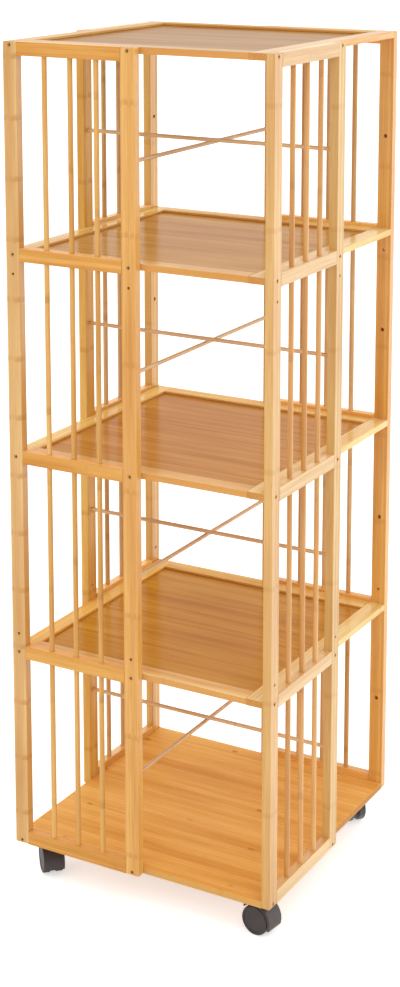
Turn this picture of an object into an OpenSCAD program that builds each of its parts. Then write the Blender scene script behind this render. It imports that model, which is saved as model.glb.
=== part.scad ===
// Square bamboo tower bookcase on four swivel casters.
// Five boards are held by four ladder-like side panels that are set round the tower like a pinwheel,
// so each face is half closed and half open. Two thin rods cross in the middle of every tier.
// The origin is on the floor under the middle of the tower, +Z is up and -Y is the front.

/* [Boards] */
// Side of the square boards
board_side = 376; // [300:1:480]
// Thickness of the bottom board and of the shelf frames
board_t = 9; // [8:0.5:14]
// Width of the rails that frame a shelf
frame_w = 24; // [20:1:40]
// Thickness of the panel that is let into a shelf frame
panel_t = 3.4; // [3:0.1:4]
// Height of the step round the panel, which leaves a thinner tongue for the groove
panel_step = 1.2; // [0.6:0.1:1.6]
// Height of the lip that the frame keeps above its groove
lip_h = 3.2; // [2.4:0.1:3.4]
// Height of the groove that holds the panel and the frame tenons
groove_h = 3.8; // [3.6:0.1:4]
// Depth of the groove
groove_depth = 6; // [4:0.5:7]
// Width of the tenon at the end of a front or back frame rail
tenon_w = 10; // [6:0.5:12]
// Height from one board to the next
tier_pitch = 274; // [200:1:340]

/* [Side panels] */
// Width of an upright
upright_w = 21; // [16:1:26]
// Thickness of the uprights and of the rails between them
upright_t = 12; // [10:0.5:18]
// Height of a side panel rail
rail_h = 18; // [15:1:30]
// Diameter of the dowels
dowel_d = 7; // [5:0.5:9]
// Number of dowels in one tier of a side panel
dowel_count = 3; // [1:1:5]
// Depth of a dowel in its rail
dowel_seat = 6; // [3:0.5:7]
// Rounding of the long edges of the bamboo pieces
edge_r = 0.8; // [0.4:0.1:1.5]
// Chamfer at the ends of the uprights
end_chamfer = 1.2; // [0.5:0.1:2]

/* [Cross rods] */
// Diameter of the cross rods
rod_d = 5.5; // [3:0.5:7]
// Depth of a rod in its upright
rod_seat = 7; // [3:0.5:8]
// Free height between two rods where they cross
rod_gap = 0.2; // [0.1:0.1:2]

/* [Screws and holes] */
// Diameter of the shank of a shelf screw
screw_d = 3.4; // [2.5:0.1:4.5]
// Diameter of the head of a shelf screw
screw_head_d = 5.5; // [5:0.1:8]
// Height of the head of a shelf screw
screw_head_h = 2.4; // [1.5:0.1:4]
// Depth of the screw head below the outside of the upright
screw_sink = 0.6; // [0.1:0.1:2]
// Length of a shelf screw inside the board
screw_bite = 14; // [8:0.5:14.5]
// Diameter of the spare holes in the uprights
spare_hole_d = 4; // [2:0.1:5]
// Height of a spare hole from the middle of its shelf
spare_hole_offset = 26; // [18:1:60]

/* [Casters] */
// Diameter of a caster wheel
wheel_d = 40; // [32:1:50]
// Width of one wheel
wheel_w = 10.8; // [8:0.1:14]
// Rounding of the rim of a wheel
wheel_edge_r = 2; // [1:0.1:3]
// Thickness of the web between two wheels
web_w = 6; // [5:0.1:9]
// Free width between the web and a wheel
wheel_gap = 0.4; // [0.3:0.1:1]
// Free height between a wheel and the hood over it
hood_clearance = 1.9; // [0.8:0.1:3]
// Wall of the hood
hood_wall = 2.6; // [2:0.1:4]
// Distance from the swivel axis to the axle
caster_trail = 13; // [11:0.5:18]
// Distance from a board edge to the swivel axis
caster_inset = 28; // [24:1:60]
// Diameter of the axle
axle_d = 5; // [4:0.5:6]
// Diameter of the swivel pin
swivel_pin_d = 8; // [6:0.5:8]
// Side of the mounting plate
plate_side = 38; // [34:1:48]
// Thickness of the mounting plate
plate_t = 2; // [1.5:0.1:3]
// Height of the ball race between the plate and the hood
race_h = 1.5; // [1:0.1:3]
// Spacing of the plate screws
plate_hole_spacing = 28; // [26:1:32]
// Diameter of the plate screws
plate_screw_d = 3; // [2.5:0.1:3.5]
// Length of a plate screw inside the board
plate_screw_bite = 6; // [4:0.5:7]

/* [Caster turn] */
// Turn of the front left caster from +X
turn_front_left = -45; // [-180:1:180]
// Turn of the front right caster from +X
turn_front_right = -8; // [-180:1:180]
// Turn of the back right caster from +X
turn_back_right = 140; // [-180:1:180]
// Turn of the back left caster from +X
turn_back_left = 75; // [-180:1:180]

/* [Hidden] */
$fn = 48;

// Colours of the bamboo, the let-in panels, the moulded casters and the metal pieces
bamboo_colour = "#E0AE6F";
rail_colour = "#E6B677";
panel_colour = "#C49A72";
plank_colour = "#DF9F56";
moulding_colour = "#4A4645";
tread_colour = "#565150";
steel_colour = "#B9B8B4";
bronze_colour = "#7A6248";

// Clearances: round seats, running fits, pressed fits, and flat joints in the frames
seat_clear = 0.05;
run_clear = 0.05;
press_clear = 0.02;
frame_play = 0.2;
tip_room = 0.5;
eps = 0.01;

// Heights of the casters and of the five boards
wheel_r = wheel_d / 2;
hood_inner_r = wheel_r + hood_clearance;
hood_outer_r = hood_inner_r + hood_wall;
race_z = wheel_r + hood_outer_r;
plate_z = race_z + race_h;
deck_z = plate_z + plate_t;
tiers = 4;
upright_h = tiers * tier_pitch + board_t;
half_side = board_side / 2;
function board_z(level) = deck_z + level * tier_pitch;
function screw_z(level) = board_z(level) + board_t / 2;
function tier_middle_z(tier) = screw_z(tier) + tier_pitch / 2;

// A side panel ends in an upright that stands in the middle of its face
side_panel_w = (board_side + upright_w) / 2;
panel_opening = side_panel_w - 2 * upright_w;

// The four faces in turn order, and the four framed boards by level
SIDES = ["front", "right", "back", "left"];
FRAMED = ["lower", "middle", "upper", "top"];
CASTERS = ["front_left", "front_right", "back_right", "back_left"];
caster_turns = [turn_front_left, turn_front_right, turn_back_right, turn_back_left];
caster_signs = [[-1, -1], [1, -1], [1, 1], [-1, 1]];
caster_reach = half_side - caster_inset;

// Rods that run left to right lie above those that run front to back
rod_lift = (rod_d + rod_gap) / 2;
function rod_z(tier, side) = tier_middle_z(tier) + (side % 2 == 1 ? rod_lift : -rod_lift);

// Screw lengths
screw_seat = screw_sink + screw_head_h;
screw_shank = upright_t - screw_seat + screw_bite;

// Frame panel and groove
opening_side = board_side - 2 * frame_w;
groove_z = board_t - lip_h - groove_h;
tongue = groove_depth - frame_play;
tenon_t = groove_h - 2 * frame_play;

// Hood: overhang past the wheels, rounding of its sides, and the angles where it and its web start and end
hood_overhang = 0.6;
hood_w = 2 * (web_w / 2 + wheel_gap + wheel_w + hood_overhang);
hood_edge_r = 1.8;
hood_drop_angle = 20;
hood_rear_angle = 135;
web_setback = 8;

// Swivel: boss of the hood, collar of the plate and the pin that joins them
swivel_boss_wall = 4;
swivel_boss_r = swivel_pin_d / 2 + swivel_boss_wall;
swivel_boss_h = 12;
collar_lip = 1.5;
collar_r = swivel_boss_r + collar_lip;
collar_gap = 0.3;
swivel_pin_l = 4;

// Axle, its hub in the web, and the closed outer face of a wheel
hub_wall = 5.5;
hub_r = axle_d / 2 + hub_wall;
wheel_face_t = 2.3;
axle_bite = wheel_w - wheel_face_t;
axle_l = web_w + 2 * (wheel_gap + axle_bite);
face_dish = 0.5;

// Plate corners and the low heads of its screws, which stay clear of the turning hood
plate_corner_r = 4;
plate_head_d = 2 * plate_screw_d;
plate_head_room = 0.4;
plate_head_h = race_h - plate_head_room;

// Hexagon socket in the head of a shelf screw
screw_socket_d = 2.8;
screw_socket_depth = 1.4;

// Rectangle with round corners, centred on the origin
module round_rect(size, r) {
    square([size.x - 2 * r, size.y], center = true);
    square([size.x, size.y - 2 * r], center = true);
    for (sx = [-1, 1])
        for (sy = [-1, 1])
            translate([sx * (size.x / 2 - r), sy * (size.y / 2 - r)])
                circle(r);
}

// Bar along X from x = 0, with its section centred on the X axis
module bar_x(length, size, r = edge_r) {
    rotate([90, 0, 90])
        linear_extrude(length)
            round_rect(size, r);
}

// Turns what is drawn on the front face to one of the four faces
module on_side(side) {
    rotate([0, 0, 90 * side])
        children();
}

// Centre of an upright on the front face: 0 is the corner upright, 1 the middle one
function upright_x(place) = place == 0
    ? -half_side + upright_w / 2
    : -half_side + side_panel_w - upright_w / 2;

// Cylinder along +Y from the point given
module rod_y(d, length) {
    rotate([-90, 0, 0])
        cylinder(d = d, h = length);
}

// Upright with its screw seats, spare holes and rod sockets, drawn on the front face
module upright(side, place) {
    height_mid = deck_z + upright_h / 2;
    on_side(side)
        translate([upright_x(place), -half_side - upright_t / 2, 0])
            difference() {
                intersection() {
                    translate([0, 0, deck_z])
                        linear_extrude(upright_h)
                            round_rect([upright_w, upright_t], edge_r);
                    translate([0, 0, height_mid])
                        chamfered_block();
                }
                for (level = [0:tiers])
                    translate([0, 0, screw_z(level)])
                        screw_hole();
                for (z = [screw_z(tiers - 1) - spare_hole_offset, screw_z(1) + spare_hole_offset])
                    translate([0, -upright_t / 2 - 1, z])
                        rod_y(spare_hole_d, upright_t + 2);
                for (tier = [0:tiers - 1])
                    translate([0, upright_t / 2 - rod_seat, rod_z(tier, side)])
                        rod_y(rod_d + 2 * seat_clear, rod_seat + 1);
            }
}

// Block that trims the ends of an upright to a chamfer on all four sides
module chamfered_block() {
    intersection() {
        rotate([90, 0, 0])
            linear_extrude(upright_t + 2, center = true)
                chamfered_rect([upright_w, upright_h], end_chamfer);
        rotate([90, 0, 90])
            linear_extrude(upright_w + 2, center = true)
                chamfered_rect([upright_t, upright_h], end_chamfer);
    }
}

// Rectangle with cut corners, centred on the origin
module chamfered_rect(size, c) {
    x = size.x / 2;
    y = size.y / 2;
    polygon([
        [-x + c, -y], [x - c, -y], [x, -y + c], [x, y - c],
        [x - c, y], [-x + c, y], [-x, y - c], [-x, -y + c]
    ]);
}

// Clearance hole and head seat through an upright, centred on its thickness
module screw_hole() {
    translate([0, -upright_t / 2 - 1, 0])
        rod_y(screw_d + 2 * seat_clear, upright_t + 2);
    translate([0, -upright_t / 2 - 1, 0])
        rod_y(screw_head_d + 2 * seat_clear, screw_seat + 1);
}

// Lower edge of a side panel rail, flush with the ends of the uprights at the bottom and the top
function rail_z(level) = level == 0
    ? deck_z
    : level == tiers ? deck_z + upright_h - rail_h : screw_z(level) - rail_h / 2;

// Places of the dowels along a side panel
function dowel_x(i) = -half_side + upright_w + panel_opening * (i + 1) / (dowel_count + 1);

// Five rails of one side panel, with sockets for the dowels
module panel_rails(side) {
    on_side(side)
        for (level = [0:tiers])
            difference() {
                translate([-half_side + upright_w, -half_side - upright_t / 2, rail_z(level) + rail_h / 2])
                    bar_x(panel_opening, [upright_t, rail_h]);
                for (i = [0:dowel_count - 1])
                    translate([dowel_x(i), -half_side - upright_t / 2, 0]) {
                        if (level < tiers)
                            translate([0, 0, rail_z(level) + rail_h - dowel_seat])
                                cylinder(d = dowel_d + 2 * seat_clear, h = dowel_seat + 1);
                        if (level > 0)
                            translate([0, 0, rail_z(level) - 1])
                                cylinder(d = dowel_d + 2 * seat_clear, h = dowel_seat + 1);
                    }
            }
}

// Dowels of one side panel, from rail to rail in every tier
module panel_dowels(side) {
    on_side(side)
        for (tier = [0:tiers - 1])
            for (i = [0:dowel_count - 1]) {
                foot = rail_z(tier) + rail_h - dowel_seat;
                head = rail_z(tier + 1) + dowel_seat;
                translate([dowel_x(i), -half_side - upright_t / 2, foot])
                    cylinder(d = dowel_d, h = head - foot);
            }
}

// Holes for the shelf screws in the edges of one board
module board_screw_holes(level) {
    for (side = [0:3])
        on_side(side)
            for (place = [0, 1])
                translate([upright_x(place), -half_side - 1, screw_z(level)])
                    rod_y(screw_d + 2 * seat_clear, screw_bite + tip_room + 1);
}

// Left or right frame rail, over the whole depth of the board
module side_rail(level, hand) {
    tenon_reach = opening_side / 2 + groove_depth + tenon_w;
    difference() {
        translate([hand * (half_side - frame_w / 2), -half_side, board_z(level) + board_t / 2])
            rotate([0, 0, 90])
                bar_x(board_side, [frame_w, board_t]);
        translate([0, 0, board_z(level) + groove_z])
            linear_extrude(groove_h)
                square([opening_side + 2 * groove_depth, 2 * tenon_reach + 2 * frame_play], center = true);
        board_screw_holes(level);
    }
}

// Front or back frame rail, between the side rails, with a tenon at each end
module cross_rail(level, hand) {
    inner = opening_side / 2;
    tenon_y = hand * (inner + groove_depth + tenon_w / 2);
    difference() {
        translate([-inner, hand * (half_side - frame_w / 2), board_z(level) + board_t / 2])
            bar_x(opening_side, [frame_w, board_t]);
        translate([0, 0, board_z(level) + groove_z])
            linear_extrude(groove_h)
                square([opening_side + 2, opening_side + 2 * groove_depth], center = true);
        board_screw_holes(level);
    }
    for (end = [-1, 1])
        translate([end * (inner + tongue / 2), tenon_y, board_z(level) + groove_z + groove_h / 2])
            cube([tongue + 2 * eps, tenon_w, tenon_t], center = true);
}

// Panel that lies in the grooves of a shelf frame with a stepped edge
module let_in_panel(level) {
    translate([0, 0, board_z(level) + groove_z]) {
        linear_extrude(panel_t - panel_step)
            square(opening_side + 2 * tongue, center = true);
        linear_extrude(panel_t)
            square(opening_side - 2 * frame_play, center = true);
    }
}

// Bottom plank with round edges
module plank() {
    translate([0, 0, board_z(0) + board_t / 2])
        intersection() {
            translate([-half_side, 0, 0])
                bar_x(board_side, [board_side, board_t]);
            rotate([0, 0, 90])
                translate([-half_side, 0, 0])
                    bar_x(board_side, [board_side, board_t]);
        }
}

// Bottom board with its screw holes and the pilot holes for the casters
module bottom_board() {
    color(plank_colour)
        difference() {
            plank();
            board_screw_holes(0);
            at_plate_screws()
                translate([0, 0, deck_z - 1])
                    cylinder(d = plate_screw_d + 2 * seat_clear, h = plate_screw_bite + tip_room + 1);
        }
}

// Rods of all tiers that end in the middle uprights of one pair of faces
module cross_rods(side) {
    reach = half_side + rod_seat - tip_room;
    on_side(side)
        for (tier = [0:tiers - 1])
            translate([0, -reach, rod_z(tier, side)])
                rod_y(rod_d, 2 * reach);
}

// Pan head screw along +Y, with its head at the start
module shelf_screw() {
    taper = screw_d;
    difference() {
        rod_y(screw_head_d, screw_head_h);
        translate([0, -1, 0])
            rotate([-90, 0, 0])
                cylinder(d = screw_socket_d, h = screw_socket_depth + 1, $fn = 6);
    }
    translate([0, screw_head_h - eps, 0])
        rod_y(screw_d, screw_shank - taper + eps);
    translate([0, screw_head_h + screw_shank - taper, 0])
        rotate([-90, 0, 0])
            cylinder(d1 = screw_d, d2 = screw_d / 4, h = taper);
}

module shelf_screws() {
    color(bronze_colour)
        for (side = [0:3])
            on_side(side)
                for (level = [0:tiers])
                    for (place = [0, 1])
                        translate([upright_x(place), -half_side - upright_t + screw_sink, screw_z(level)])
                            shelf_screw();
}

// Puts what follows at the swivel axis of one caster, turned with it
module at_caster(i) {
    translate([caster_signs[i].x * caster_reach, caster_signs[i].y * caster_reach, 0])
        rotate([0, 0, caster_turns[i]])
            children();
}

// Puts what follows at every plate screw of all four casters
module at_plate_screws() {
    for (s = caster_signs)
        for (dx = [-1, 1])
            for (dy = [-1, 1])
                translate([
                    s.x * caster_reach + dx * plate_hole_spacing / 2,
                    s.y * caster_reach + dy * plate_hole_spacing / 2,
                    0
                ])
                    children();
}

// Four steel plates, each with its collar and the swivel pin riveted to it
module caster_plates() {
    color(steel_colour)
        difference() {
            for (s = caster_signs)
                translate([s.x * caster_reach, s.y * caster_reach, 0]) {
                    translate([0, 0, plate_z])
                        linear_extrude(plate_t)
                            round_rect([plate_side, plate_side], plate_corner_r);
                    translate([0, 0, race_z + collar_gap])
                        cylinder(r = collar_r, h = race_h - collar_gap + eps);
                    translate([0, 0, race_z - swivel_pin_l])
                        cylinder(d = swivel_pin_d, h = swivel_pin_l + race_h);
                }
            at_plate_screws()
                translate([0, 0, plate_z - 1])
                    cylinder(d = plate_screw_d + 2 * seat_clear, h = plate_t + 2);
        }
}

// Round head screws that hold the plates to the bottom board
module caster_screws() {
    color(steel_colour)
        at_plate_screws()
            translate([0, 0, plate_z]) {
                translate([0, 0, -plate_head_h])
                    cylinder(d = plate_head_d, h = plate_head_h);
                translate([0, 0, -eps])
                    cylinder(d = plate_screw_d, h = plate_t + plate_screw_bite + eps);
            }
}

// Puts what follows at the axle of one caster, with the wheel axis along +Z
module at_axle(i) {
    at_caster(i)
        translate([caster_trail, 0, wheel_r])
            rotate([90, 0, 0])
                children();
}

// Moulded body of a caster: hood over both wheels, web, axle hub and swivel boss
module hood(i) {
    difference() {
        union() {
            difference() {
                union() {
                    at_axle(i)
                        hood_cover();
                    at_caster(i)
                        translate([0, 0, race_z - swivel_boss_h])
                            cylinder(r = swivel_boss_r, h = swivel_boss_h);
                }
                at_axle(i)
                    wheel_wells();
            }
            at_axle(i)
                linear_extrude(web_w, center = true)
                    web_outline();
        }
        at_axle(i)
            cylinder(d = axle_d + 2 * press_clear, h = hood_w + 2, center = true);
        at_caster(i)
            translate([0, 0, race_z - swivel_pin_l - tip_room])
                cylinder(d = swivel_pin_d + 2 * run_clear, h = swivel_pin_l + tip_room + 1);
    }
}

// Cover with round sides, turned from its front edge over to its rear edge. It starts inside the wells,
// which trim it to the room that the wheels need
module hood_cover() {
    inner = hood_inner_r - hood_wall / 2;
    side = hood_w / 2 - hood_edge_r;
    rotate([0, 0, -hood_drop_angle])
        rotate_extrude(angle = hood_drop_angle + hood_rear_angle) {
            translate([inner, -hood_w / 2])
                square([hood_outer_r - hood_edge_r - inner, hood_w]);
            translate([inner, -side])
                square([hood_outer_r - inner, 2 * side]);
            for (y = [-side, side])
                translate([hood_outer_r - hood_edge_r, y])
                    circle(hood_edge_r);
        }
}

// Room for the two wheels on both sides of the web
module wheel_wells() {
    for (s = [-1, 1])
        translate([0, 0, s * (web_w / 2 + hood_w / 2)])
            cylinder(r = hood_inner_r, h = hood_w, center = true);
}

// Side view of the web: a sector under the cover and a round hub at the axle
module web_outline() {
    intersection() {
        circle(hood_inner_r + hood_wall / 2);
        sector(2 * hood_outer_r, -hood_drop_angle + web_setback, hood_rear_angle - web_setback);
    }
    circle(hub_r);
}

// Sector of a disc that is drawn large enough to be trimmed by a circle
module sector(r, from, to) {
    middle = (from + to) / 2;
    polygon([[0, 0], for (a = [from, middle, to]) r * [cos(a), sin(a)]]);
}

// Steel axle pressed through the web
module axle(i) {
    at_axle(i)
        cylinder(d = axle_d, h = axle_l, center = true);
}

// Section of a wheel from its inner face at y = 0 to its outer face, with a round rim and a dished face
module wheel_section() {
    rim = wheel_edge_r;
    square([wheel_r - rim, wheel_w - face_dish]);
    translate([0, rim])
        square([wheel_r, wheel_w - 2 * rim]);
    translate([wheel_r - 2 * rim, wheel_w - rim])
        square([rim, rim]);
    for (y = [rim, wheel_w - rim])
        translate([wheel_r - rim, y])
            circle(rim);
}

// One wheel with a blind axle hole: hand -1 stands on the +Y side of the caster, hand 1 on the -Y side
module wheel(i, hand) {
    at_axle(i)
        mirror([0, 0, hand > 0 ? 0 : 1])
            translate([0, 0, web_w / 2 + wheel_gap])
                difference() {
                    rotate_extrude()
                        wheel_section();
                    translate([0, 0, -1])
                        cylinder(d = axle_d + 2 * run_clear, h = axle_bite + tip_room + 1);
                }
}

for (i = [0:3]) {
    board = FRAMED[i];
    level = i + 1;
    color(rail_colour) side_rail(level, -1);
    color(rail_colour) side_rail(level, 1);
    color(rail_colour) cross_rail(level, -1);
    color(rail_colour) cross_rail(level, 1);
    color(panel_colour) let_in_panel(level);
}
bottom_board();
for (side = [0:3]) {
    face = SIDES[side];
    color(bamboo_colour) upright(side, 0);
    color(bamboo_colour) upright(side, 1);
    color(rail_colour) panel_rails(side);
    color(bamboo_colour) panel_dowels(side);
}
color(bamboo_colour) cross_rods(1);  // cross_rods_x
color(bamboo_colour) cross_rods(0);  // cross_rods_y
shelf_screws();
caster_plates();
caster_screws();
for (i = [0:3]) {
    caster = CASTERS[i];
    color(moulding_colour) hood(i);
    color(steel_colour) axle(i);
    color(tread_colour) wheel(i, 1);
    color(tread_colour) wheel(i, -1);
}
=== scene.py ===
"""Looks of a rolling tower bookcase in laminated bamboo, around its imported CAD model.

The solids come from the frame. This script gives each piece its finish, adds the rims of the screw heads,
which are too fine for the CAD model, and sets up a white studio with a camera at the photograph's angle.
"""

import math

import bmesh
import bpy
from mathutils import Euler, Matrix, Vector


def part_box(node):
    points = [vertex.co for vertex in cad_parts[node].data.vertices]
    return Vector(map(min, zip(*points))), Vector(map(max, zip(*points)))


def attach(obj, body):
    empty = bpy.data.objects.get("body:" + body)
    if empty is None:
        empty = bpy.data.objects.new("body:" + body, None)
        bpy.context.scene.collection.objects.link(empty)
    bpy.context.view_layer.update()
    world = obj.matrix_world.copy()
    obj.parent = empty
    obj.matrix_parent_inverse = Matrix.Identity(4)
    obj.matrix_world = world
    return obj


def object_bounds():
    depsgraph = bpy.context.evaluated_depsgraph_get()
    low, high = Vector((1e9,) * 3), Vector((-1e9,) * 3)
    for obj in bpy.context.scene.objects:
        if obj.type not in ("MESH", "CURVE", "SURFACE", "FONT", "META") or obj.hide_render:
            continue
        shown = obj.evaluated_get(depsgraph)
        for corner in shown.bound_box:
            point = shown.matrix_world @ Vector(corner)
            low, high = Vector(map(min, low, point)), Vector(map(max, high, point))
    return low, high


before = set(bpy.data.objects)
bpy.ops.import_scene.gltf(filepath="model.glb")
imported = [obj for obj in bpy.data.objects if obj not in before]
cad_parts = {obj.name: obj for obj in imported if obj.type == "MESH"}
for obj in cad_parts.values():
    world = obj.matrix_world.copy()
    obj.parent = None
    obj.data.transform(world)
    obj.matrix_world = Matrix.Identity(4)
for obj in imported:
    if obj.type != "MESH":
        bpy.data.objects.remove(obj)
CAD_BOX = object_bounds()

bl_info = {
    "name": "Rolling tower bookcase",
    "version": (1, 0, 0),
    "blender": (4, 5, 0),
    "location": "View3D > Sidebar > Bookcase",
    "description": "Finishes, screw rims and studio for a bamboo tower bookcase on casters",
    "category": "Object",
}

MM = 0.001
X, Y, Z = 0, 1, 2
CASTERS = ("front_left", "front_right", "back_right", "back_left")

# Tiers between the bottom board and the top, the step from one to the next, and the height in the bottom
# board from which they are counted
TIERS = 4
TIER_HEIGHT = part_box("top_left_rail")[0].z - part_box("upper_left_rail")[0].z
TIER_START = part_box("bottom_board")[0].z + 4 * MM

# Spreads the random number of a piece over many cells of the noise
SEED_STEP = 97.0

# Patches of floor dust, of tarnish and of wear, and the depth of the grain of a mould
DUST_PATCH = 7 * MM
TARNISH_PATCH = 1.2 * MM
WEAR_PATCH = 0.8 * MM
MOULD_DEPTH = 0.05 * MM

# What the dull patches of a metal keep of its tone
DULL = 0.7

# Corners of the outline of a screw's rim, and how its recess turns from level to level, post to post and
# side to side
RIM_CORNERS = 24
LEVEL_SPIN = math.radians(37)
POST_SPIN = math.radians(61)
SIDE_SPIN = math.radians(23)


def linear(hex_colour):
    """Turns an sRGB hex colour into the linear values that Blender's sockets take."""
    parts = [int(hex_colour[i : i + 2], 16) / 255 for i in (1, 3, 5)]
    return tuple(p / 12.92 if p <= 0.04045 else ((p + 0.055) / 1.055) ** 2.4 for p in parts)


def colour(label, text, hex_colour):
    """A colour that the user may change."""
    return bpy.props.FloatVectorProperty(
        name=label, description=text, subtype="COLOR", size=3, min=0, max=1, default=linear(hex_colour)
    )


def length(label, text, millimetres):
    """A size that the user may change, given in millimetres and held in metres."""
    return bpy.props.FloatProperty(
        name=label, description=text, unit="LENGTH", subtype="DISTANCE", min=0, precision=5,
        default=millimetres * MM,
    )


def rgba(value):
    """A colour property as the four numbers of a colour socket."""
    return (*value, 1.0)


def dulled(value):
    """The darker tone in the dull patches of a metal."""
    return tuple(DULL * part for part in value)


class GrainSettings(bpy.types.PropertyGroup):
    """What all the bamboo has in common."""

    fibre_width: length(
        "Fibre width", "Width of a bundle of fibres, drawn coarser than the real 0.3 mm to show", 1.3
    )
    fibre_length: length("Fibre length", "Length over which a bundle of fibres changes", 70)
    cloud_width: length("Cloud width", "Width of the soft patches in the tone", 26)
    cloud_length: length("Cloud length", "Length of the soft patches in the tone", 240)
    glue_line: length(
        "Glue line", "Width of the line between two strips, drawn coarser than the real 0.1 mm", 0.45
    )
    pore: length("Pore", "Size of the fibre bundles on a sawn end", 0.9)
    relief: length("Relief", "Height of the fibres under the lacquer", 0.12)
    fibre_shade: colour("Fibre shade", "What the darker fibres take from the tone", "#CFB286")
    cloud_shade: colour("Cloud shade", "What the soft patches take from the tone", "#E9D2AC")
    end_pale: colour("End, pale", "Soft tissue on a sawn end", "#D0934C")
    end_deep: colour("End, deep", "Fibre bundles on a sawn end", "#A86D32")
    node_lip: length("Node lip", "Width of the sharp side of a node", 1.2)


class UprightSettings(bpy.types.PropertyGroup):
    """Finish of the eight uprights."""

    pale: colour("Pale strip", "Lightest strips", "#ECBF79")
    deep: colour("Deep strip", "Darkest strips", "#DFAA5F")
    edge: colour("Edge", "Planed edges", "#E0AC62")
    node: colour("Node", "Bands where the culm had a node", "#BC7C22")
    strip: length("Strip width", "Width of one glued strip", 4.4)
    node_gap: length("Node spacing", "Distance between two nodes of the culm", 80)
    node_band: length("Node band", "Length over which a node fades", 9)


class RailSettings(bpy.types.PropertyGroup):
    """Finish of the rails of the side panels."""

    pale: colour("Pale strip", "Lightest strips", "#EDBE77")
    deep: colour("Deep strip", "Darkest strips", "#E0AA60")
    edge: colour("Edge", "Planed edges", "#E0AC62")
    node: colour("Node", "Bands where the culm had a node", "#BC823C")
    strip: length("Strip width", "Width of one glued strip", 6)
    node_gap: length("Node spacing", "Distance between two nodes of the culm", 210)
    node_band: length("Node band", "Length over which a node fades", 6)


class ShelfFrameSettings(bpy.types.PropertyGroup):
    """Finish of the shelf frames round the panels."""

    pale: colour("Pale strip", "Lightest strips", "#FAD594")
    deep: colour("Deep strip", "Darkest strips", "#F0C179")
    # Tone of the upright faces of a frame, partly the edge grain and partly painted shade
    edge: colour("Edge", "Planed edges", "#CD8E49")
    node: colour("Node", "Bands where the culm had a node", "#B9823F")
    strip: length("Strip width", "Width of one glued strip", 5.5)
    node_gap: length("Node spacing", "Distance between two nodes of the culm", 190)
    node_band: length("Node band", "Length over which a node fades", 6)


class PanelSettings(bpy.types.PropertyGroup):
    """Finish of the varnished panels in the shelf frames."""

    pale: colour("Pale strip", "Lightest strips", "#DDA557")
    deep: colour("Deep strip", "Darkest strips", "#D19545")
    edge: colour("Edge", "Planed edges", "#C68C48")
    node: colour("Node", "Bands where the culm had a node", "#9A6230")
    strip: length("Strip width", "Width of one strip of veneer", 6.5)
    node_gap: length("Node spacing", "Distance between two nodes of the culm", 320)
    node_band: length("Node band", "Length over which a node fades", 5)


class PlankSettings(bpy.types.PropertyGroup):
    """Finish of the bottom board."""

    pale: colour("Pale strip", "Lightest strips", "#F5BC6A")
    deep: colour("Deep strip", "Darkest strips", "#EAAC55")
    # Tone of the upright faces of the board, partly the edge grain and partly painted shade
    edge: colour("Edge", "Planed edges", "#D3A25F")
    node: colour("Node", "Bands where the culm had a node", "#9C5A22")
    strip: length("Strip width", "Width of one glued strip", 6)
    node_gap: length("Node spacing", "Distance between two nodes of the culm", 260)
    node_band: length("Node band", "Length over which a node fades", 11)


class DowelSettings(bpy.types.PropertyGroup):
    """Finish of the dowels in the side panels."""

    pale: colour("Pale strip", "Lightest dowels", "#EEC592")
    deep: colour("Deep strip", "Darkest dowels", "#DDAE70")
    edge: colour("Edge", "Planed edges", "#D9A663")
    node: colour("Node", "Bands where the culm had a node", "#A8712F")
    strip: length("Strip width", "Width over which the tone of a dowel stays the same", 20)
    node_gap: length("Node spacing", "Distance between two nodes of the culm", 150)
    node_band: length("Node band", "Length over which a node fades", 14)


class RodSettings(bpy.types.PropertyGroup):
    """Finish of the rods that cross in each tier."""

    pale: colour("Pale strip", "Lightest rods", "#EFD2A6")
    deep: colour("Deep strip", "Darkest rods", "#E3C096")
    edge: colour("Edge", "Planed edges", "#E6BC84")
    node: colour("Node", "Bands where the culm had a node", "#B98544")
    strip: length("Strip width", "Width over which the tone of a rod stays the same", 20)
    node_gap: length("Node spacing", "Distance between two nodes of the culm", 170)
    node_band: length("Node band", "Length over which a node fades", 6)


class FittingSettings(bpy.types.PropertyGroup):
    """Finish of the screws, plates and casters."""

    hood: colour("Hood", "Moulded nylon of the hoods", "#3E3636")
    wheel: colour("Wheel", "Moulded nylon of the wheels", "#362F2F")
    dust: colour("Dust", "Floor dust on the treads", "#544C4A")
    bronze: colour("Bronze", "Bronze lacquer of the shelf screws", "#DDAE6C")
    tarnish: colour("Tarnish", "Darker patches of the bronze lacquer", "#B88642")
    # Painted shade: the colour of the head where the cross recess is in shade
    recess: colour("Recess", "Rubbed lacquer in the recess of a shelf screw", "#94642C")
    recess_span: length("Recess span", "Length of the two slots of the cross recess", 4.2)
    recess_slot: length("Recess slot", "Width of the two slots of the cross recess", 1.6)
    rim_height: length("Rim height", "Height of the head's rim round the recess", 0.4)
    rim_bevel: length("Rim bevel", "Bevel of the outer edge of the rim", 0.25)
    rim_gap: length("Rim gap", "Free width between the rim and its hole in the upright", 0.1)
    rim_sink: length("Rim sink", "How deep the rim is let into the head", 0.05)
    zinc: colour("Zinc", "Zinc plated steel of plates, screws and axles", "#C9CBCC")
    spangle: length("Spangle", "Size of the patches of the zinc", 1.6)
    mould_grain: length("Mould grain", "Grain of the moulded nylon, drawn coarser than the real 0.1 mm", 0.5)


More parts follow.
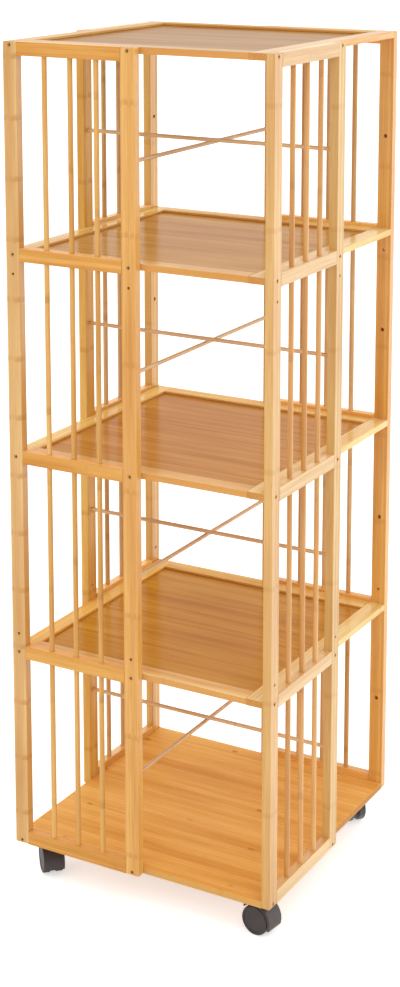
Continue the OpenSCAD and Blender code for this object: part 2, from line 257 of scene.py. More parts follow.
class StageSettings(bpy.types.PropertyGroup):
    """White studio and camera."""

    floor: colour("Floor", "Paint of the studio floor", "#F4F3F1")
    floor_side: bpy.props.FloatProperty(
        name="Floor size", description="Side of the studio floor", unit="LENGTH", default=60
    )
    floor_glow: bpy.props.FloatProperty(
        name="Floor glow", description="How much the floor is lifted to white where the camera sees it",
        default=0.52,
    )
    ambient: bpy.props.FloatProperty(
        name="Ambient", description="Light from the white walls of the studio", min=0, default=1.05
    )
    front_wall: bpy.props.FloatProperty(
        name="Front wall", description="How bright the side behind the camera is in the lacquer", min=0,
        default=0.1,
    )
    back_wall: bpy.props.FloatProperty(
        name="Back wall", description="How bright the side behind the bookcase is in the lacquer", min=0,
        default=1.65,
    )
    back_floor: bpy.props.FloatProperty(
        name="Back floor", description="How much brighter the floor behind the bookcase is in the lacquer",
        min=0, default=1.2,
    )
    camera_place: bpy.props.FloatVectorProperty(
        name="Camera place", description="Where the camera stands", subtype="XYZ", unit="LENGTH",
        default=(1.2350, -2.1911, 1.3605),
    )
    camera_turn: bpy.props.FloatProperty(
        name="Camera turn", description="Turn of the camera about the vertical", subtype="ANGLE",
        default=math.radians(29.598),
    )
    camera_tilt: bpy.props.FloatProperty(
        name="Camera tilt", description="Tilt of the camera below the horizon", subtype="ANGLE",
        default=math.radians(9.592),
    )
    camera_lens: bpy.props.FloatProperty(
        name="Camera lens", description="Focal length of the camera in millimetres", default=69.155
    )
    camera_fall: bpy.props.FloatProperty(
        name="Camera fall", description="How far the lens is lowered, as a share of the picture's height",
        default=-0.30,
    )


def add(tree, kind, inputs=None, **settings):
    """Adds a node with its settings. An input is a value, or a socket of another node to link from."""
    node = tree.nodes.new(kind)
    for name, value in settings.items():
        setattr(node, name, value)
    for socket, value in (inputs or {}).items():
        if isinstance(value, bpy.types.NodeSocket):
            tree.links.new(value, node.inputs[socket])
        else:
            node.inputs[socket].default_value = value
    return node


# Sockets of a Mix node that mixes colours
FACTOR, BELOW, ABOVE, MIXED = 0, 6, 7, 2


def new_material(name):
    """A material with an empty tree, and that tree."""
    material = bpy.data.materials.new(name)
    material.use_nodes = True
    material.node_tree.nodes.clear()
    return material, material.node_tree


def bamboo(
    name, finish, along, across, spread, roughness, gloss, coat=0.0, streak=0.45, seam=0.35,
    node_share=0.5, marks=0.55, gap=1.0, patches=0.8, patch_size=1.0, edge_tone_and_shade=0.0,
    painted_top_shading=1.0, tiers_apart=False, tone_and_painted_light=(1.0, 1.0, 1.0),
):
    """Laminated bamboo, planed, sanded and lacquered.

    Long strips of slightly different tone lie side by side, with fine fibres along them, a brown band where
    the culm had a node, and pores on the sawn ends. The lacquer gives a soft gloss over all of it.

    The fibres run along one axis and the strips lie across another. Gloss and coat belong to the lacquer.
    Streak, seam, patches and marks are the strength of the fibres, the glue lines, the soft patches and the
    nodes. Spread is how far the nodes shift from strip to strip, node_share how many strips show them fully,
    and gap how much wider than usual they lie apart. How far the upright faces take the tone of the edge is
    partly the edge grain's own tone and partly painted shade on them. The faces that look up keep a share of
    their colour that is painted light above 1 and painted shade below 1. The last factor is what a piece
    keeps of the red, green and blue of its finish: partly its own tone, as no two pieces of bamboo have the
    same tone, and partly the light and shade painted on that piece.
    """
    grain = bpy.context.scene.bookcase_grain
    node_gap = finish.node_gap * gap
    # Each piece's own tone together with the light and shade painted on it
    pale, deep = ([min(1.0, c * t) for c, t in zip(tone, tone_and_painted_light)] for tone in (finish.pale, finish.deep))
    material, tree = new_material(name)
    place = add(tree, "ShaderNodeTexCoord")
    at = add(tree, "ShaderNodeSeparateXYZ", {0: place.outputs["Object"]})
    piece = add(tree, "ShaderNodeObjectInfo")
    piece_no = add(tree, "ShaderNodeMath", {0: piece.outputs["Random"], 1: SEED_STEP}, operation="MULTIPLY")
    seed = {"Y": piece_no.outputs[0]}
    if tiers_apart:
        above_start = add(tree, "ShaderNodeMath", {0: at.outputs[Z], 1: TIER_START}, operation="SUBTRACT")
        tiers = add(tree, "ShaderNodeMath", {0: above_start.outputs[0], 1: TIER_HEIGHT}, operation="DIVIDE")
        seed["Z"] = add(tree, "ShaderNodeMath", {0: tiers.outputs[0]}, operation="FLOOR").outputs[0]

    # Strips: each has its own tone, and a thin line of glue on both sides
    strips = add(tree, "ShaderNodeMath", {0: at.outputs[across], 1: finish.strip}, operation="DIVIDE")
    strip_no = add(tree, "ShaderNodeMath", {0: strips.outputs[0]}, operation="FLOOR")
    strip_seed = add(tree, "ShaderNodeCombineXYZ", {"X": strip_no.outputs[0], **seed})
    strip_chance = add(
        tree, "ShaderNodeTexWhiteNoise", {"Vector": strip_seed.outputs[0]}, noise_dimensions="3D"
    )
    chances = add(tree, "ShaderNodeSeparateColor", {0: strip_chance.outputs["Color"]})
    tone = add(
        tree, "ShaderNodeMix",
        {FACTOR: chances.outputs[0], BELOW: rgba(deep), ABOVE: rgba(pale)}, data_type="RGBA",
    )
    to_edge = add(tree, "ShaderNodeMath", {0: strips.outputs[0], 1: 0.5}, operation="PINGPONG")
    glue = add(
        tree, "ShaderNodeMapRange",
        {
            "Value": to_edge.outputs[0], "From Min": 0.0, "From Max": grain.glue_line / finish.strip,
            "To Min": seam, "To Max": 0.0,
        },
        interpolation_type="SMOOTHSTEP",
    )

    # Fibres and soft patches, both stretched along the piece
    fibre_scale = [1 / grain.fibre_width] * 3
    fibre_scale[along] = 1 / grain.fibre_length
    fibre_place = add(tree, "ShaderNodeMapping", {"Vector": place.outputs["Object"], "Scale": fibre_scale})
    fibre = add(
        tree, "ShaderNodeTexNoise",
        {"Vector": fibre_place.outputs[0], "Scale": 1.0, "Detail": 3.0, "Roughness": 0.6},
    )
    fibre_depth = add(
        tree, "ShaderNodeMapRange",
        {"Value": fibre.outputs[0], "From Min": 0.42, "From Max": 0.72, "To Min": 0.0, "To Max": streak},
    )
    cloud_scale = [1 / (patch_size * grain.cloud_width)] * 3
    cloud_scale[along] = 1 / (patch_size * grain.cloud_length)
    cloud_place = add(tree, "ShaderNodeMapping", {"Vector": place.outputs["Object"], "Scale": cloud_scale})
    cloud = add(tree, "ShaderNodeTexNoise", {"Vector": cloud_place.outputs[0], "Scale": 1.0, "Detail": 2.0})
    cloud_depth = add(
        tree, "ShaderNodeMapRange",
        {"Value": cloud.outputs[0], "From Min": 0.4, "From Max": 0.7, "To Min": 0.0, "To Max": patches},
    )
    fibred = add(
        tree, "ShaderNodeMix",
        {FACTOR: fibre_depth.outputs[0], BELOW: tone.outputs[MIXED], ABOVE: rgba(grain.fibre_shade)},
        data_type="RGBA", blend_type="MULTIPLY",
    )
    clouded = add(
        tree, "ShaderNodeMix",
        {FACTOR: cloud_depth.outputs[0], BELOW: fibred.outputs[MIXED], ABOVE: rgba(grain.cloud_shade)},
        data_type="RGBA", blend_type="MULTIPLY",
    )

    # Nodes of the culm: bands across the strips, sharp on one side and fading on the other
    piece_seed = add(tree, "ShaderNodeCombineXYZ", seed)
    piece_chance = add(
        tree, "ShaderNodeTexWhiteNoise", {"Vector": piece_seed.outputs[0]}, noise_dimensions="3D"
    )
    drift = add(
        tree, "ShaderNodeMath",
        {0: chances.outputs[1], 1: spread, 2: piece_chance.outputs["Value"]}, operation="MULTIPLY_ADD",
    )
    culm = add(
        tree, "ShaderNodeMath",
        {0: at.outputs[along], 1: 1 / node_gap, 2: drift.outputs[0]}, operation="MULTIPLY_ADD",
    )
    wavy = add(
        tree, "ShaderNodeMath", {0: fibre.outputs[0], 1: MM / node_gap, 2: culm.outputs[0]},
        operation="MULTIPLY_ADD",
    )
    along_culm = add(tree, "ShaderNodeMath", {0: wavy.outputs[0]}, operation="FRACT")
    rise = add(
        tree, "ShaderNodeMapRange",
        {
            "Value": along_culm.outputs[0], "From Min": 0.5 - grain.node_lip / node_gap, "From Max": 0.5,
            "To Min": 0.0, "To Max": 1.0,
        },
        interpolation_type="SMOOTHSTEP",
    )
    fall = add(
        tree, "ShaderNodeMapRange",
        {
            "Value": along_culm.outputs[0], "From Min": 0.5 + 0.4 * finish.node_band / node_gap,
            "From Max": 0.5 + finish.node_band / node_gap,
            "To Min": 1.0, "To Max": 0.0,
        },
        interpolation_type="SMOOTHSTEP",
    )
    band = add(tree, "ShaderNodeMath", {0: rise.outputs[0], 1: fall.outputs[0]}, operation="MULTIPLY")
    strength = add(
        tree, "ShaderNodeMapRange",
        {
            "Value": chances.outputs[2], "From Min": 1 - node_share, "From Max": 1.0,
            "To Min": 0.25 * marks * node_share, "To Max": marks,
        },
    )
    node_depth = add(
        tree, "ShaderNodeMath", {0: band.outputs[0], 1: strength.outputs[0]}, operation="MULTIPLY"
    )
    banded = add(
        tree, "ShaderNodeMix",
        {FACTOR: node_depth.outputs[0], BELOW: clouded.outputs[MIXED], ABOVE: rgba(finish.node)},
        data_type="RGBA",
    )
    glued = add(
        tree, "ShaderNodeMix",
        {FACTOR: glue.outputs[0], BELOW: banded.outputs[MIXED], ABOVE: rgba(finish.node)},
        data_type="RGBA",
    )

    # Upright faces: edge grain tone and painted shade. Upward faces: painted light and shade.
    facing = add(tree, "ShaderNodeSeparateXYZ", {0: place.outputs["Normal"]})
    planed = glued
    if edge_tone_and_shade:
        level = add(tree, "ShaderNodeMath", {0: facing.outputs[Z]}, operation="ABSOLUTE")
        edge = add(
            tree, "ShaderNodeMapRange",
            {
                "Value": level.outputs[0], "From Min": 0.3, "From Max": 0.7,
                "To Min": edge_tone_and_shade, "To Max": 0.0,
            },
        )
        planed = add(
            tree, "ShaderNodeMix",
            {FACTOR: edge.outputs[0], BELOW: glued.outputs[MIXED], ABOVE: rgba(finish.edge)},
            data_type="RGBA",
        )
    # Painted light and shade on the faces that look up
    if painted_top_shading != 1:
        painted_top_mask = add(
            tree, "ShaderNodeMapRange",
            {"Value": facing.outputs[Z], "From Min": 0.5, "From Max": 0.9, "To Min": 0.0, "To Max": 1.0},
        )
        planed = add(
            tree, "ShaderNodeMix",
            {FACTOR: painted_top_mask.outputs[0], BELOW: planed.outputs[MIXED], ABOVE: rgba((painted_top_shading, painted_top_shading, painted_top_shading))},
            data_type="RGBA", blend_type="MULTIPLY",
        )

    # Sawn ends show the fibre bundles as pores
    end_on = add(tree, "ShaderNodeMath", {0: facing.outputs[along]}, operation="ABSOLUTE")
    end = add(
        tree, "ShaderNodeMapRange",
        {"Value": end_on.outputs[0], "From Min": 0.8, "From Max": 0.95, "To Min": 0.0, "To Max": 1.0},
    )
    pores = add(
        tree, "ShaderNodeTexVoronoi",
        {"Vector": place.outputs["Object"], "Scale": 1 / grain.pore, "Randomness": 0.9},
    )
    pore_depth = add(
        tree, "ShaderNodeMapRange",
        {"Value": pores.outputs["Distance"], "From Min": 0.2, "From Max": 0.6, "To Min": 0.0, "To Max": 1.0},
    )
    end_grain = add(
        tree, "ShaderNodeMix",
        {FACTOR: pore_depth.outputs[0], BELOW: rgba(grain.end_deep), ABOVE: rgba(grain.end_pale)},
        data_type="RGBA",
    )
    surface = add(
        tree, "ShaderNodeMix",
        {FACTOR: end.outputs[0], BELOW: planed.outputs[MIXED], ABOVE: end_grain.outputs[MIXED]},
        data_type="RGBA",
    )

    # The lacquer: duller over the fibres, which stand up a little under it
    sheen = add(
        tree, "ShaderNodeMapRange",
        {
            "Value": fibre.outputs[0], "From Min": 0.3, "From Max": 0.7,
            "To Min": roughness - 0.06, "To Max": roughness + 0.08,
        },
    )
    height = add(tree, "ShaderNodeMath", {0: fibre.outputs[0], 1: glue.outputs[0]}, operation="SUBTRACT")
    bump = add(
        tree, "ShaderNodeBump", {"Strength": 0.35, "Distance": grain.relief, "Height": height.outputs[0]}
    )
    shader = add(
        tree, "ShaderNodeBsdfPrincipled",
        {
            "Base Color": surface.outputs[MIXED], "Roughness": sheen.outputs[0], "IOR": 1.5,
            "Specular IOR Level": gloss, "Coat Weight": coat, "Coat Roughness": 0.17, "Coat IOR": 1.38,
            "Normal": bump.outputs[0],
        },
    )
    add(tree, "ShaderNodeOutputMaterial", {"Surface": shader.outputs[0]})
    return material


def nylon(name, base, dust, dust_depth, roughness):
    """Nylon from a spark-eroded mould: a dull, finely grained dark surface with a little floor dust."""
    fittings = bpy.context.scene.bookcase_fittings
    material, tree = new_material(name)
    place = add(tree, "ShaderNodeTexCoord")
    mould = add(
        tree, "ShaderNodeTexNoise",
        {"Vector": place.outputs["Object"], "Scale": 1 / fittings.mould_grain, "Detail": 2.0},
    )
    film = add(
        tree, "ShaderNodeTexNoise",
        {"Vector": place.outputs["Object"], "Scale": 1 / DUST_PATCH, "Detail": 3.0},
    )
    film_depth = add(
        tree, "ShaderNodeMapRange",
        {"Value": film.outputs[0], "From Min": 0.42, "From Max": 0.75, "To Min": 0.0, "To Max": dust_depth},
    )
    surface = add(
        tree, "ShaderNodeMix",
        {FACTOR: film_depth.outputs[0], BELOW: rgba(base), ABOVE: rgba(dust)}, data_type="RGBA",
    )
    sheen = add(
        tree, "ShaderNodeMapRange",
        {
            "Value": film.outputs[0], "From Min": 0.35, "From Max": 0.7,
            "To Min": roughness - 0.05, "To Max": roughness + 0.12,
        },
    )
    bump = add(
        tree, "ShaderNodeBump", {"Strength": 0.25, "Distance": MOULD_DEPTH, "Height": mould.outputs[0]}
    )
    shader = add(
        tree, "ShaderNodeBsdfPrincipled",
        {
            "Base Color": surface.outputs[MIXED], "Roughness": sheen.outputs[0], "IOR": 1.53,
            "Normal": bump.outputs[0],
        },
    )
    add(tree, "ShaderNodeOutputMaterial", {"Surface": shader.outputs[0]})
    return material


def plated_steel(name, bright, dull, patch, roughness, metal=1.0):
    """Plated steel: a metal whose patches of slightly different tone blur what they reflect."""
    material, tree = new_material(name)
    place = add(tree, "ShaderNodeTexCoord")
    patches = add(
        tree, "ShaderNodeTexNoise", {"Vector": place.outputs["Object"], "Scale": 1 / patch, "Detail": 3.0}
    )
    depth = add(
        tree, "ShaderNodeMapRange",
        {"Value": patches.outputs[0], "From Min": 0.35, "From Max": 0.7, "To Min": 0.0, "To Max": 0.8},
    )
    surface = add(
        tree, "ShaderNodeMix",
        {FACTOR: depth.outputs[0], BELOW: rgba(bright), ABOVE: rgba(dull)}, data_type="RGBA",
    )
    sheen = add(
        tree, "ShaderNodeMapRange",
        {
            "Value": patches.outputs[0], "From Min": 0.3, "From Max": 0.7,
            "To Min": roughness - 0.06, "To Max": roughness + 0.12,
        },
    )
    shader = add(
        tree, "ShaderNodeBsdfPrincipled",
        {"Base Color": surface.outputs[MIXED], "Metallic": metal, "Roughness": sheen.outputs[0]},
    )
    add(tree, "ShaderNodeOutputMaterial", {"Surface": shader.outputs[0]})
    return material


def dress(names, material):
    """Gives CAD nodes their finish."""
    for name in names:
        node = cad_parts[name]
        if not node.material_slots:
            node.data.materials.append(material)
        for material_slot in node.material_slots:
            material_slot.material = material


class BOOKCASE_OT_uprights(bpy.types.Operator):
    """Finishes the eight uprights, with their strips along the height"""

    bl_idname = "bookcase.uprights"
    bl_label = "Uprights"

    def execute(self, context):
        finish = context.scene.bookcase_uprights
        # Each upright's colour factor holds its own tone and the light and shade painted on it
        for name, across, gloss, gap, marks, tone_and_painted_light in (
            ("front_corner", X, 0.9, 1.0, 0.65, (0.92, 0.93, 0.94)),
            ("front_middle", X, 0.7, 2.1, 0.50, (1.00, 0.91, 0.65)),
            ("back_corner", X, 0.6, 1.6, 0.30, (1.02, 0.92, 0.68)),
            ("back_middle", X, 0.7, 1.8, 0.40, (0.90, 0.88, 0.74)),
            ("left_corner", Y, 0.6, 1.7, 0.30, (1.01, 1.01, 0.68)),
            ("left_middle", Y, 0.15, 1.5, 0.45, (1.09, 1.21, 1.12)),
            ("right_corner", Y, 0.7, 1.9, 0.45, (0.88, 0.85, 0.75)),
            ("right_middle", Y, 0.45, 2.0, 0.30, (0.91, 0.99, 1.07)),
        ):
            material = bamboo(
                f"laminated bamboo, upright {name.replace('_', ' ')}", finish, Z, across,
                spread=0.02, roughness=0.36, gloss=gloss, streak=0.4, node_share=1.0, marks=marks, gap=gap,
                tone_and_painted_light=tone_and_painted_light,
            )
            dress([f"{name}_upright"], material)
        return {"FINISHED"}


class BOOKCASE_OT_side_rails(bpy.types.Operator):
    """Finishes the rails of the four side panels"""

    bl_idname = "bookcase.side_rails"
    bl_label = "Side rails"

    def execute(self, context):
        finish = context.scene.bookcase_rails
        # The factor for upward faces is painted light; each colour factor holds the side's own tone and
        # painted light and shade
        for side, along, gloss, painted_top_shading, tone_and_painted_light in (
            ("front", X, 0.15, 1.25, (0.92, 0.82, 0.63)),
            ("back", X, 0.3, 1.0, (1.17, 1.14, 0.95)),
            ("left", Y, 0.8, 1.2, (1.16, 1.25, 1.10)),
            ("right", Y, 0.9, 1.2, (0.91, 1.02, 1.13)),
        ):
            material = bamboo(
                f"laminated bamboo, side rail {side}", finish, along, Z,
                spread=0.05, roughness=0.36, gloss=gloss, streak=0.4, node_share=0.8, marks=0.35,
                painted_top_shading=painted_top_shading, tiers_apart=True, tone_and_painted_light=tone_and_painted_light,
            )
            dress([f"{side}_rails"], material)
        return {"FINISHED"}


class BOOKCASE_OT_shelf_frames(bpy.types.Operator):
    """Finishes the frames of the four upper shelves"""

    bl_idname = "bookcase.shelf_frames"
    bl_label = "Shelf frames"

    def execute(self, context):
        finish = context.scene.bookcase_frames
        # Upright faces take edge tone and painted shade, the top shelf's upward faces painted shade, and each
        # colour factor holds own tone with painted light and shade
        for shelves, side, along, across, coat, edge_tone_and_shade, painted_top_shading, tone_and_painted_light in (
            (("top",), "front", X, Y, 0.42, 0.8, 0.75, (0.94, 0.89, 0.90)),
            (("upper", "middle", "lower"), "front", X, Y, 0.42, 0.8, 1.0, (1.00, 1.00, 0.97)),
            (("top",), "back", X, Y, 0.25, 0.7, 0.75, (0.95, 0.81, 0.55)),
            (("upper", "middle", "lower"), "back", X, Y, 0.30, 0.7, 1.0, (1.10, 1.10, 0.90)),
            (("top",), "left", Y, X, 0.30, 0.3, 0.75, (1.04, 1.02, 0.98)),
            (("upper",), "left", Y, X, 0.52, 0.2, 1.0, (1.15, 1.20, 1.00)),
            (("middle",), "left", Y, X, 0.47, 0.2, 1.0, (1.15, 1.12, 0.85)),
            (("lower",), "left", Y, X, 0.36, 0.2, 1.0, (1.14, 1.00, 0.62)),
            (("top",), "right", Y, X, 0.42, 0.0, 0.78, (1.05, 1.00, 1.18)),
            (("upper", "middle", "lower"), "right", Y, X, 0.50, 0.0, 1.0, (1.12, 1.22, 1.28)),
        ):
            material = bamboo(
                f"laminated bamboo, {side} of shelf frame, {' and '.join(shelves)}", finish, along, across,
                spread=0.3, roughness=0.42, gloss=0.0, coat=coat, marks=0.3,
                edge_tone_and_shade=edge_tone_and_shade, painted_top_shading=painted_top_shading, tone_and_painted_light=tone_and_painted_light,
            )
            dress([f"{shelf}_{side}_rail" for shelf in shelves], material)
        return {"FINISHED"}


class BOOKCASE_OT_panels(bpy.types.Operator):
    """Finishes the varnished panels in the shelf frames"""

    bl_idname = "bookcase.panels"
    bl_label = "Shelf panels"

    def execute(self, context):
        finish = context.scene.bookcase_panels
        # Each panel's colour factor holds its own tone and the light and shade painted on it
        for shelf, streak, tone_and_painted_light in (
            ("top", 0.1, (0.61, 0.62, 0.69)),
            ("upper", 0.25, (0.98, 1.10, 1.30)),
            ("middle", 0.4, (0.99, 0.98, 0.93)),
            ("lower", 0.45, (0.97, 0.94, 0.52)),
        ):
            material = bamboo(
                f"bamboo veneer, varnished, {shelf}", finish, X, Y,
                spread=1.0, roughness=0.4, gloss=0.0, coat=0.29, streak=streak, seam=0.15,
                node_share=0.2, marks=0.3, tone_and_painted_light=tone_and_painted_light,
            )
            dress([f"{shelf}_panel"], material)
        return {"FINISHED"}


class BOOKCASE_OT_plank(bpy.types.Operator):
    """Finishes the bottom board"""

    bl_idname = "bookcase.plank"
    bl_label = "Bottom board"

    def execute(self, context):
        # Upright faces take edge tone and painted shade; the colour factor holds own tone and painted light
        material = bamboo(
            "laminated bamboo, bottom board", context.scene.bookcase_plank, X, Y,
            spread=1.0, roughness=0.4, gloss=0.05, seam=0.25, node_share=0.2, marks=0.7,
            patches=1.0, patch_size=2.2, edge_tone_and_shade=0.8, tone_and_painted_light=(1.11, 1.16, 1.16),
        )
        dress(["bottom_board"], material)
        return {"FINISHED"}


class BOOKCASE_OT_dowels(bpy.types.Operator):
    """Finishes the dowels of the side panels"""

    bl_idname = "bookcase.dowels"
    bl_label = "Dowels"

    def execute(self, context):
        finish = context.scene.bookcase_dowels
        # Each side's colour factor holds the dowels' own tone and the light and shade painted on them
        for side, across, gloss, tone_and_painted_light in (
            ("front", X, 0.4, (0.92, 0.84, 0.52)),
            ("back", X, 0.4, (0.94, 0.98, 1.01)),
            ("left", Y, 0.4, (0.92, 0.97, 1.01)),
            ("right", Y, 0.8, (0.92, 0.80, 0.53)),
        ):
            material = bamboo(
                f"turned bamboo, dowel {side}", finish, Z, across,
                spread=1.0, roughness=0.42, gloss=gloss, seam=0.0, node_share=0.6, marks=0.45,
                tiers_apart=True, tone_and_painted_light=tone_and_painted_light,
            )
            dress([f"{side}_dowels"], material)
        return {"FINISHED"}


class BOOKCASE_OT_rods(bpy.types.Operator):
    """Finishes the two thin rods that cross in each tier"""

    bl_idname = "bookcase.rods"
    bl_label = "Cross rods"

    def execute(self, context):
        finish = context.scene.bookcase_rods
        for name, along, across in (("cross_rods_x", X, Y), ("cross_rods_y", Y, X)):
            material = bamboo(
                f"turned bamboo, rod {'XY'[along]}", finish, along, across,
                spread=1.0, roughness=0.42, gloss=0.4, seam=0.0, node_share=0.4, marks=0.3, tiers_apart=True,
            )
            dress([name], material)
        return {"FINISHED"}


class BOOKCASE_OT_screws(bpy.types.Operator):
    """Finishes the screws that hold the shelves and adds rims that leave a cross recess in their heads"""

    bl_idname = "bookcase.screws"
    bl_label = "Shelf screws"

    def execute(self, context):
        fittings = context.scene.bookcase_fittings
        # Painted shade: the head under the rims is dark brown where its cross recess lies in shade, darker in
        # random patches
        painted_recess_shade = plated_steel(
            "burnished steel", fittings.recess, dulled(fittings.recess), WEAR_PATCH, 0.5, metal=0.1
        )
        # Bronze lacquered steel: pale brown lacquer with a little of the metal in it, paler where it is thin
        lacquered = plated_steel(
            "bronze lacquered steel", fittings.bronze, fittings.tarnish, TARNISH_PATCH, 0.45, metal=0.15
        )
        dress(["shelf_screws"], painted_recess_shade)
        rims = self.rims(context.scene, fittings)
        rims.data.materials.append(lacquered)
        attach(rims, "tower")
        return {"FINISHED"}

    def rims(self, scene, fittings):
        """The rims of all the heads as one mesh, each recess at a turn of its own."""
        low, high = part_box("shelf_screws")
        head_d = high.z - low.z - TIERS * TIER_HEIGHT
        rim = self.rim(head_d / 2 - fittings.rim_gap, fittings)
        reaches = {"front": -low.y, "right": high.x, "back": high.y, "left": -low.x}
        outwards = Matrix.Rotation(math.pi / 2, 4, "X")
        shape = bmesh.new()
        for side_no, (side, reach) in enumerate(reaches.items()):
            side_turn = Matrix.Rotation(side_no * math.pi / 2, 4, "Z")
            for post_no, post in enumerate(("corner", "middle")):
                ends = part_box(f"{side}_{post}_upright")
                along = (side_turn.inverted() @ ((ends[0] + ends[1]) / 2)).x
                for level in range(TIERS + 1):
                    height = low.z + head_d / 2 + level * TIER_HEIGHT
                    place = Matrix.Translation((along, -reach, height))
                    turn = LEVEL_SPIN * level + POST_SPIN * post_no + SIDE_SPIN * side_no
                    spin = Matrix.Rotation(turn, 4, "Z")
                    start = len(shape.verts)
                    shape.from_mesh(rim)
                    bmesh.ops.transform(
                        shape, matrix=side_turn @ place @ outwards @ spin, verts=list(shape.verts)[start:]
                    )
        bpy.data.meshes.remove(rim)
        mesh = bpy.data.meshes.new("shelf_screw_rims")
        shape.to_mesh(mesh)
        shape.free()
        rims = bpy.data.objects.new("shelf_screw_rims", mesh)
        scene.collection.objects.link(rims)
        return rims

    def rim(self, radius, fittings):
        """One rim: a round plate with a bevelled edge and a cross-shaped hole, let a little into its head."""
        top, foot, bevel = fittings.rim_height, -fittings.rim_sink, fittings.rim_bevel
        span, slot = fittings.recess_span / 2, fittings.recess_slot / 2
        arm = ((span, -slot), (span, slot), (slot, slot))
        quarter_turns = ((1, 0), (0, 1), (-1, 0), (0, -1))
        cross = [(c * x - s * y, s * x + c * y) for c, s in quarter_turns for x, y in arm]
        angles = [2 * math.pi * k / RIM_CORNERS for k in range(RIM_CORNERS)]
        shape = bmesh.new()

        def loop(points, height):
            """A closed loop of points at one height, and its edges."""
            verts = [shape.verts.new((x, y, height)) for x, y in points]
            edges = [shape.edges.new((a, b)) for a, b in zip(verts, verts[1:] + verts[:1])]
            return verts, edges

        def wall(lower, upper):
            """The faces between two loops."""
            for k in range(len(lower)):
                shape.faces.new((lower[k - 1], lower[k], upper[k], upper[k - 1]))

        outer = [
            loop([(r * math.cos(a), r * math.sin(a)) for a in angles], height)
            for r, height in ((radius, foot), (radius, top - bevel), (radius - bevel, top))
        ]
        inner = [loop(cross, height) for height in (foot, top)]
        wall(outer[0][0], outer[1][0])
        wall(outer[1][0], outer[2][0])
        wall(inner[1][0], inner[0][0])
        for ring, hole in ((outer[0], inner[0]), (outer[2], inner[1])):
            bmesh.ops.triangle_fill(shape, use_beauty=True, edges=ring[1] + hole[1])
        bmesh.ops.recalc_face_normals(shape, faces=shape.faces)
        mesh = bpy.data.meshes.new("shelf_screw_rim")
        shape.to_mesh(mesh)
        shape.free()
        return mesh


class BOOKCASE_OT_casters(bpy.types.Operator):
    """Finishes the casters, their plates and their screws"""

    bl_idname = "bookcase.casters"
    bl_label = "Casters"

    def execute(self, context):
        fittings = context.scene.bookcase_fittings
        # Zinc plated steel, passivated: pale grey, half dull, with faint spangle
        zinc = plated_steel(
            "zinc plated steel", fittings.zinc, dulled(fittings.zinc), fittings.spangle, 0.36, metal=0.4
        )
        hood = nylon("moulded nylon, hood", fittings.hood, fittings.dust, 0.15, 0.42)
        wheel = nylon("moulded nylon, wheel", fittings.wheel, fittings.dust, 0.35, 0.45)
        dress(["caster_plates", "caster_screws", *(f"{c}_axle" for c in CASTERS)], zinc)
        dress([f"{c}_hood" for c in CASTERS], hood)
        dress([f"{c}_wheel_{k}" for c in CASTERS for k in "ab"], wheel)
        return {"FINISHED"}


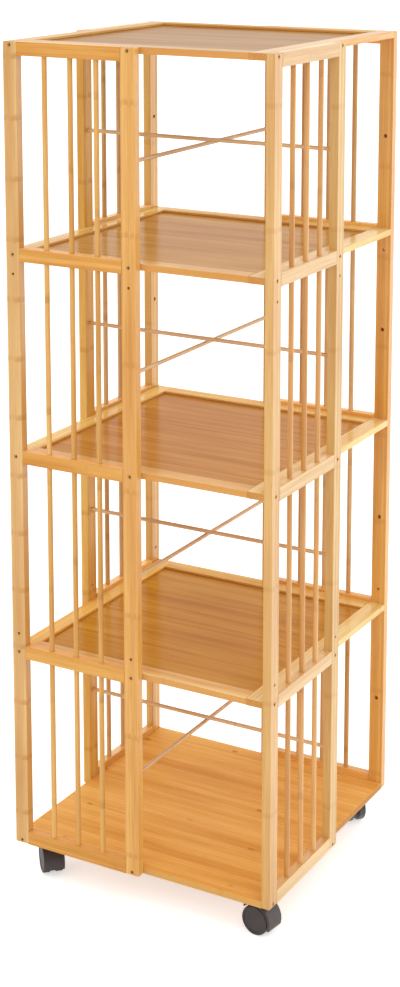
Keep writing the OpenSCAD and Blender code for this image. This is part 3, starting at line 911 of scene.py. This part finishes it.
class BOOKCASE_OT_stage(bpy.types.Operator):
    """Sets up the white studio, its lamps and the camera"""

    bl_idname = "bookcase.stage"
    bl_label = "Stage"

    def execute(self, context):
        scene = context.scene
        stage = scene.bookcase_stage
        scene.view_settings.view_transform = "Standard"
        self.floor(scene, stage)
        self.walls(scene, stage)
        self.lamps(scene)
        self.camera(scene, stage)
        return {"FINISHED"}

    def floor(self, scene, stage):
        """Painted floor, lifted to white for the camera, and behind where the lacquer mirrors it."""
        half = stage.floor_side / 2
        mesh = bpy.data.meshes.new("studio_floor")
        corners = [(-half, -half, 0), (half, -half, 0), (half, half, 0), (-half, half, 0)]
        mesh.from_pydata(corners, [], [(0, 1, 2, 3)])
        floor = bpy.data.objects.new("studio_floor", mesh)
        scene.collection.objects.link(floor)
        material, tree = new_material("painted studio floor")
        ray = add(tree, "ShaderNodeLightPath")
        matt = add(tree, "ShaderNodeBsdfDiffuse", {"Color": rgba(stage.floor)})
        place = add(tree, "ShaderNodeTexCoord")
        at = add(tree, "ShaderNodeSeparateXYZ", {0: place.outputs["Object"]})
        behind = add(
            tree, "ShaderNodeMapRange",
            {
                "Value": at.outputs[Y], "From Min": -0.3, "From Max": 0.1,
                "To Min": 0.0, "To Max": stage.back_floor,
            },
            interpolation_type="SMOOTHSTEP",
        )
        mirrored = add(
            tree, "ShaderNodeMath",
            {0: ray.outputs["Is Glossy Ray"], 1: behind.outputs[0]}, operation="MULTIPLY",
        )
        lift = add(
            tree, "ShaderNodeMath",
            {0: ray.outputs["Is Camera Ray"], 1: stage.floor_glow, 2: mirrored.outputs[0]},
            operation="MULTIPLY_ADD",
        )
        glow = add(tree, "ShaderNodeEmission", {"Color": (1, 1, 1, 1), "Strength": lift.outputs[0]})
        both = add(tree, "ShaderNodeAddShader", {0: matt.outputs[0], 1: glow.outputs[0]})
        add(tree, "ShaderNodeOutputMaterial", {"Surface": both.outputs[0]})
        mesh.materials.append(material)

    def walls(self, scene, stage):
        """White walls: white to the camera, soft light to each surface, and bright behind in the lacquer."""
        scene.world = bpy.data.worlds.new("white studio")
        scene.world.use_nodes = True
        tree = scene.world.node_tree
        tree.nodes.clear()
        ray = add(tree, "ShaderNodeLightPath")
        place = add(tree, "ShaderNodeTexCoord")
        towards = add(tree, "ShaderNodeSeparateXYZ", {0: place.outputs["Generated"]})
        mirrored = add(
            tree, "ShaderNodeMapRange",
            {
                "Value": towards.outputs[Y], "From Min": -0.4, "From Max": 0.5,
                "To Min": stage.front_wall, "To Max": stage.back_wall,
            },
            interpolation_type="SMOOTHSTEP",
        )
        lit = add(
            tree, "ShaderNodeMix",
            {0: ray.outputs["Is Glossy Ray"], 2: stage.ambient, 3: mirrored.outputs[0]}, data_type="FLOAT",
        )
        seen = add(
            tree, "ShaderNodeMix",
            {0: ray.outputs["Is Camera Ray"], 2: lit.outputs[0], 3: 1.0}, data_type="FLOAT",
        )
        white = add(tree, "ShaderNodeBackground", {"Color": (1, 1, 1, 1), "Strength": seen.outputs[0]})
        add(tree, "ShaderNodeOutputWorld", {"Surface": white.outputs[0]})

    def lamps(self, scene):
        """Large soft lamps in front, on the right, and behind the right side for the shine of its lacquer."""
        aim = (CAD_BOX[0] + CAD_BOX[1]) / 2
        for name, place, width, height, watts in (
            ("front_lamp", (-0.4, -2.2, 1.4), 1.2, 2.2, 5.5),
            ("side_lamp", (3.0, -1.8, 3.6), 2.2, 2.2, 17),
            ("rim_lamp", (2.0, 3.4, 1.0), 2.0, 2.0, 8),
        ):
            lamp = bpy.data.lights.new(name, "AREA")
            lamp.shape, lamp.size, lamp.size_y, lamp.energy = "RECTANGLE", width, height, watts
            holder = bpy.data.objects.new(name, lamp)
            holder.location = place
            holder.rotation_euler = (aim - holder.location).to_track_quat("-Z", "Y").to_euler()
            holder.visible_camera = False
            scene.collection.objects.link(holder)

    def camera(self, scene, stage):
        """Camera at the photograph's angle, with a lowered lens that keeps the uprights close to parallel."""
        data = bpy.data.cameras.new("photo_camera")
        data.lens = stage.camera_lens
        data.shift_y = stage.camera_fall
        data.clip_end = 2 * stage.floor_side
        camera = bpy.data.objects.new("photo_camera", data)
        camera.location = stage.camera_place
        camera.rotation_euler = Euler((math.pi / 2 - stage.camera_tilt, 0, stage.camera_turn))
        scene.collection.objects.link(camera)
        scene.camera = camera


class BOOKCASE_PT_sidebar(bpy.types.Panel):
    """Lists the steps that dress the bookcase"""

    bl_idname = "BOOKCASE_PT_sidebar"
    bl_label = "Bookcase"
    bl_space_type = "VIEW_3D"
    bl_region_type = "UI"
    bl_category = "Bookcase"

    def draw(self, context):
        for operator in OPERATORS:
            self.layout.operator(operator.bl_idname)
        for name in SETTINGS:
            settings = getattr(context.scene, name)
            box = self.layout.box()
            box.label(text=name.replace("bookcase_", "").capitalize())
            for prop in type(settings).__annotations__:
                box.prop(settings, prop)


SETTINGS = {
    "bookcase_grain": GrainSettings,
    "bookcase_uprights": UprightSettings,
    "bookcase_rails": RailSettings,
    "bookcase_frames": ShelfFrameSettings,
    "bookcase_panels": PanelSettings,
    "bookcase_plank": PlankSettings,
    "bookcase_dowels": DowelSettings,
    "bookcase_rods": RodSettings,
    "bookcase_fittings": FittingSettings,
    "bookcase_stage": StageSettings,
}
OPERATORS = (
    BOOKCASE_OT_uprights,
    BOOKCASE_OT_side_rails,
    BOOKCASE_OT_shelf_frames,
    BOOKCASE_OT_panels,
    BOOKCASE_OT_plank,
    BOOKCASE_OT_dowels,
    BOOKCASE_OT_rods,
    BOOKCASE_OT_screws,
    BOOKCASE_OT_casters,
    BOOKCASE_OT_stage,
)


def register():
    for settings in SETTINGS.values():
        bpy.utils.register_class(settings)
    for operator in OPERATORS:
        bpy.utils.register_class(operator)
    bpy.utils.register_class(BOOKCASE_PT_sidebar)
    for name, settings in SETTINGS.items():
        setattr(bpy.types.Scene, name, bpy.props.PointerProperty(type=settings))


def unregister():
    for name in SETTINGS:
        delattr(bpy.types.Scene, name)
    bpy.utils.unregister_class(BOOKCASE_PT_sidebar)
    for operator in reversed(OPERATORS):
        bpy.utils.unregister_class(operator)
    for settings in reversed(SETTINGS.values()):
        bpy.utils.unregister_class(settings)


def main():
    """Registers the add-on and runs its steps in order."""
    register()
    for operator in OPERATORS:
        category, step = operator.bl_idname.split(".")
        getattr(getattr(bpy.ops, category), step)()


if __name__ == "__main__":
    main()
